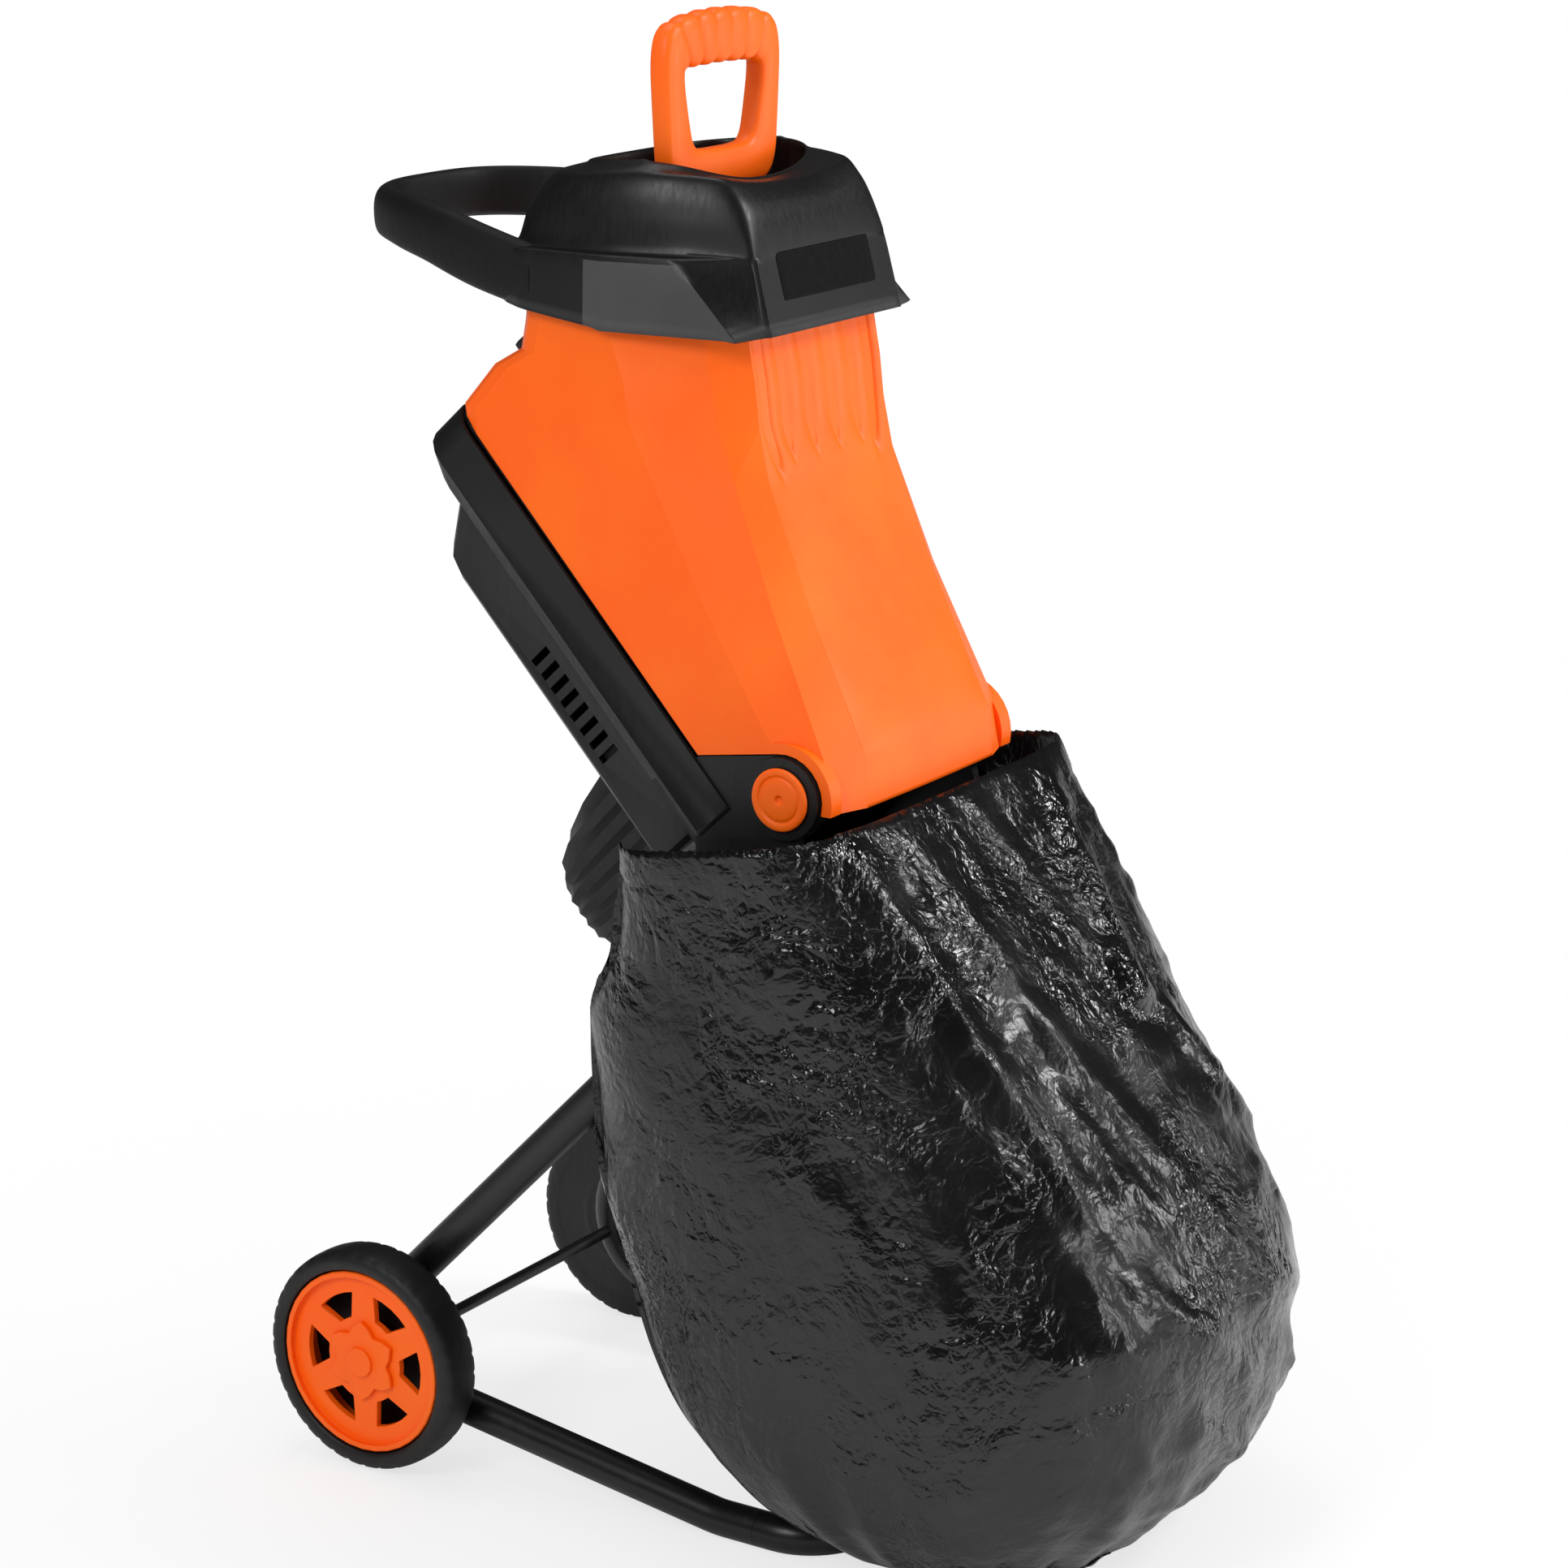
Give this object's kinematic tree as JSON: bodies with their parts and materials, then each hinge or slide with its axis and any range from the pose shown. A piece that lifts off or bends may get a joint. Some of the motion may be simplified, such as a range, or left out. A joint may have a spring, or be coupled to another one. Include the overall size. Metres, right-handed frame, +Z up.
{
  "type": "electric garden shredder",
  "caption": "Wheeled electric wood chipper: black frame and motor base, orange feed hopper with plunger and handle loop, catch bag.",
  "frame": {"origin": "on the floor under the middle of the footprint", "axes": "+Z up, -Y towards the front with the catch bag, +Y towards the wheels and handle, X along the axle"},
  "size_m": [0.452, 0.754, 1.126],
  "materials": {
    "orange_plastic": "moulded, satin",
    "black_plastic": "moulded, fine grain",
    "black_paint": "powder coated",
    "black_rubber": "hard plastic tread, matt",
    "belt_rubber": "ribbed belt",
    "black_film": "coated woven film, glossy",
    "bright_steel": "machined",
    "dark_steel": "blackened",
    "cast_aluminium": "cast",
    "copper": "copper winding on steel",
    "green_plastic": "moulded",
    "red_plastic": "moulded"
  },
  "bodies": {
    "machine": {"frame_tube_left": "black_paint", "frame_tube_right": "black_paint", "base_bar": "black_paint", "base_sleeve_left": "dark_steel", "base_sleeve_right": "dark_steel", "axle": "black_paint", "axle_spacer_left": "black_plastic", "axle_spacer_right": "black_plastic", "axle_nut_left": "bright_steel", "axle_nut_right": "bright_steel", "strut_socket_left": "black_plastic", "strut_socket_right": "black_plastic", "frame_bolt_left": "dark_steel", "frame_bolt_right": "dark_steel", "base_housing": "black_plastic", "drive_cover": "black_plastic", "motor_cowl": "black_plastic", "motor_stator": "dark_steel", "motor_end_bracket": "black_plastic", "motor_bearing_upper": "bright_steel", "motor_bearing_lower": "bright_steel", "spindle_bearing_upper": "bright_steel", "spindle_bearing_lower": "bright_steel", "bearing_block": "cast_aluminium", "drive_belt": "belt_rubber", "hinge_pin": "bright_steel", "hinge_cap_left": "orange_plastic", "hinge_cap_right": "orange_plastic", "clamp_bolt": "bright_steel", "switch_box": "black_plastic", "power_inlet": "black_plastic", "catch_bag": "black_film"},
    "wheel_left": {"wheel_rim_left": "orange_plastic", "tyre_left": "black_rubber", "hub_cap_left": "orange_plastic"},
    "wheel_right": {"wheel_rim_right": "orange_plastic", "tyre_right": "black_rubber", "hub_cap_right": "orange_plastic"},
    "hopper_unit": {"hopper": "orange_plastic", "chamber_cover": "black_plastic", "feed_chute": "black_plastic", "counter_blade": "bright_steel", "collar": "black_plastic"},
    "plunger_unit": {"plunger": "orange_plastic"},
    "motor_rotor": {"armature": "copper", "motor_pulley": "bright_steel"},
    "blade_rotor": {"spindle": "bright_steel", "spindle_pulley": "cast_aluminium", "blade_disc": "dark_steel", "blade_1": "bright_steel", "blade_2": "bright_steel", "blade_screw_1_1": "dark_steel", "blade_screw_1_2": "dark_steel", "blade_screw_2_1": "dark_steel", "blade_screw_2_2": "dark_steel", "disc_bolt": "dark_steel"},
    "clamp_knob_unit": {"clamp_knob": "black_plastic"},
    "start_button_unit": {"start_button": "green_plastic"},
    "stop_button_unit": {"stop_button": "red_plastic"},
    "reset_button_unit": {"reset_button": "black_plastic"}
  },
  "joints": [
    {"name": "wheel_left_spin", "type": "hinge", "parent": "machine", "child": "wheel_left", "pos_m": [-0.183, 0.287, 0.09], "axis": [1, 0, 0], "continuous": true},
    {"name": "wheel_right_spin", "type": "hinge", "parent": "machine", "child": "wheel_right", "pos_m": [0.183, 0.287, 0.09], "axis": [1, 0, 0], "continuous": true},
    {"name": "hopper_hinge", "type": "hinge", "parent": "machine", "child": "hopper_unit", "pos_m": [0, -0.06, 0.58], "axis": [1, 0, 0], "range_deg": [0, 50]},
    {"name": "plunger_slide", "type": "slide", "parent": "hopper_unit", "child": "plunger_unit", "axis": [0, 0, 1], "range_m": [0, 0.3]},
    {"name": "blade_rotor_spin", "type": "hinge", "parent": "machine", "child": "blade_rotor", "pos_m": [0, 0.1052, 0.76092], "axis": [0, -0.7385, 0.6743], "continuous": true},
    {"name": "motor_spin", "type": "hinge", "parent": "machine", "child": "motor_rotor", "pos_m": [0, -0.01954, 0.62431], "axis": [0, -0.7385, 0.6743], "continuous": true},
    {"name": "clamp_knob_turn", "type": "hinge", "parent": "machine", "child": "clamp_knob_unit", "pos_m": [0, 0.23456, 0.86625], "axis": [0, 0.6743, 0.7385], "range_deg": [0, 1080]},
    {"name": "start_button_press", "type": "slide", "parent": "machine", "child": "start_button_unit", "axis": [-1, 0, 0], "range_m": [0, 0.003], "stiffness_N_per_m": 400},
    {"name": "stop_button_press", "type": "slide", "parent": "machine", "child": "stop_button_unit", "axis": [-1, 0, 0], "range_m": [0, 0.003], "stiffness_N_per_m": 400},
    {"name": "reset_button_press", "type": "slide", "parent": "machine", "child": "reset_button_unit", "axis": [-1, 0, 0], "range_m": [0, 0.002], "stiffness_N_per_m": 400}
  ],
  "couplings": [
    {"joint": "motor_spin", "follows": "blade_rotor_spin", "ratio": 2.9231}
  ]
}
